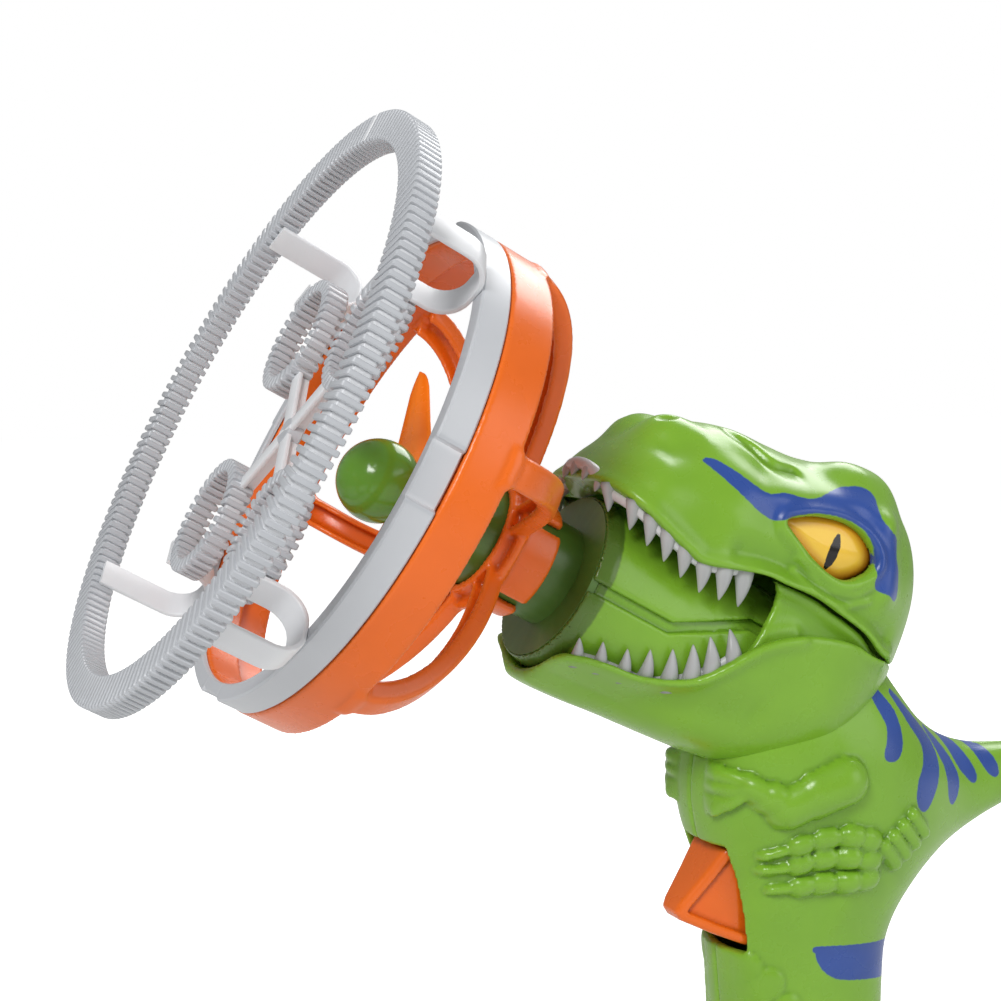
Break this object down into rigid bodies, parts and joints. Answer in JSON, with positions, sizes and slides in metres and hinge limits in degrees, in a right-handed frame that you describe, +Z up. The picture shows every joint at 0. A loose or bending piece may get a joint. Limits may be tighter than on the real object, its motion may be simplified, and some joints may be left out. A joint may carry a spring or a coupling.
{
  "type": "hand-held bubble fan",
  "caption": "Hand-held battery bubble fan with a dinosaur head and pistol handle, an open fan cage on the barrel and a ribbed bubble ring with a cluster of small rings.",
  "frame": {"origin": "centre of the handle's flat base", "axes": "+Z up the handle, +X to the front where the bubble rings are, +Y to the toy's left side"},
  "size_m": [0.2977, 0.16, 0.29],
  "materials": {
    "green_plastic": "glossy moulded, lime green",
    "orange_plastic": "glossy moulded, orange",
    "white_plastic": "satin moulded, cool white",
    "tooth_plastic": "satin moulded, pale grey",
    "eye_plastic": "high gloss, yellow with a dark slit pupil",
    "plated_steel": "nickel plated sheet",
    "steel": "zinc plated",
    "black_plastic": "fine matt",
    "battery_case": "wrapped can"
  },
  "bodies": {
    "root": {"body_left": "green_plastic", "body_right": "green_plastic", "skull": "green_plastic", "lower_jaw": "green_plastic", "teeth_upper": "tooth_plastic", "teeth_lower": "tooth_plastic", "eye_left": "eye_plastic", "eye_right": "eye_plastic", "barrel_upper": "green_plastic", "barrel_lower": "green_plastic", "nose_plate": "green_plastic", "fan_cage": "orange_plastic", "motor_can": "plated_steel", "motor_endcap": "black_plastic", "battery_front": "battery_case", "battery_middle": "battery_case", "battery_rear": "battery_case", "battery_springs": "plated_steel", "battery_contact": "plated_steel", "shell_screws": "steel", "trigger_pin": "steel", "switch_body": "black_plastic", "trigger_spring": "plated_steel"},
    "fan": {"fan_blades": "orange_plastic", "fan_hub_ball": "green_plastic", "motor_shaft": "steel"},
    "wand": {"bubble_ring_large": "white_plastic", "bubble_ring_cluster": "white_plastic", "wand_band": "white_plastic"},
    "trigger": {"trigger": "orange_plastic"},
    "plunger": {"switch_plunger": "black_plastic"},
    "door": {"battery_door": "green_plastic", "door_screw": "steel"}
  },
  "joints": [
    {"name": "fan_spin", "type": "hinge", "parent": "root", "child": "fan", "pos_m": [0.11236, 0, 0.19532], "axis": [0.8746, 0, 0.4848], "continuous": true},
    {"name": "wand_pull", "type": "slide", "parent": "root", "child": "wand", "axis": [0.8746, 0, 0.4848], "range_m": [0, 0.02]},
    {"name": "trigger_pull", "type": "hinge", "parent": "root", "child": "trigger", "pos_m": [0.016, 0, 0.093], "axis": [0, 1, 0], "range_deg": [0, 15], "stiffness_Nm_per_rad": 0.15, "springref_deg": -5.73, "deforming": ["trigger_spring"]},
    {"name": "switch_travel", "type": "slide", "parent": "root", "child": "plunger", "axis": [-1, 0, 0], "range_m": [0, 0.0022]},
    {"name": "door_lift", "type": "slide", "parent": "root", "child": "door", "axis": [0, -1, 0], "range_m": [0, 0.02]}
  ],
  "couplings": [
    {"joint": "switch_travel", "follows": "trigger_pull", "m_per_rad": 0.00764}
  ]
}
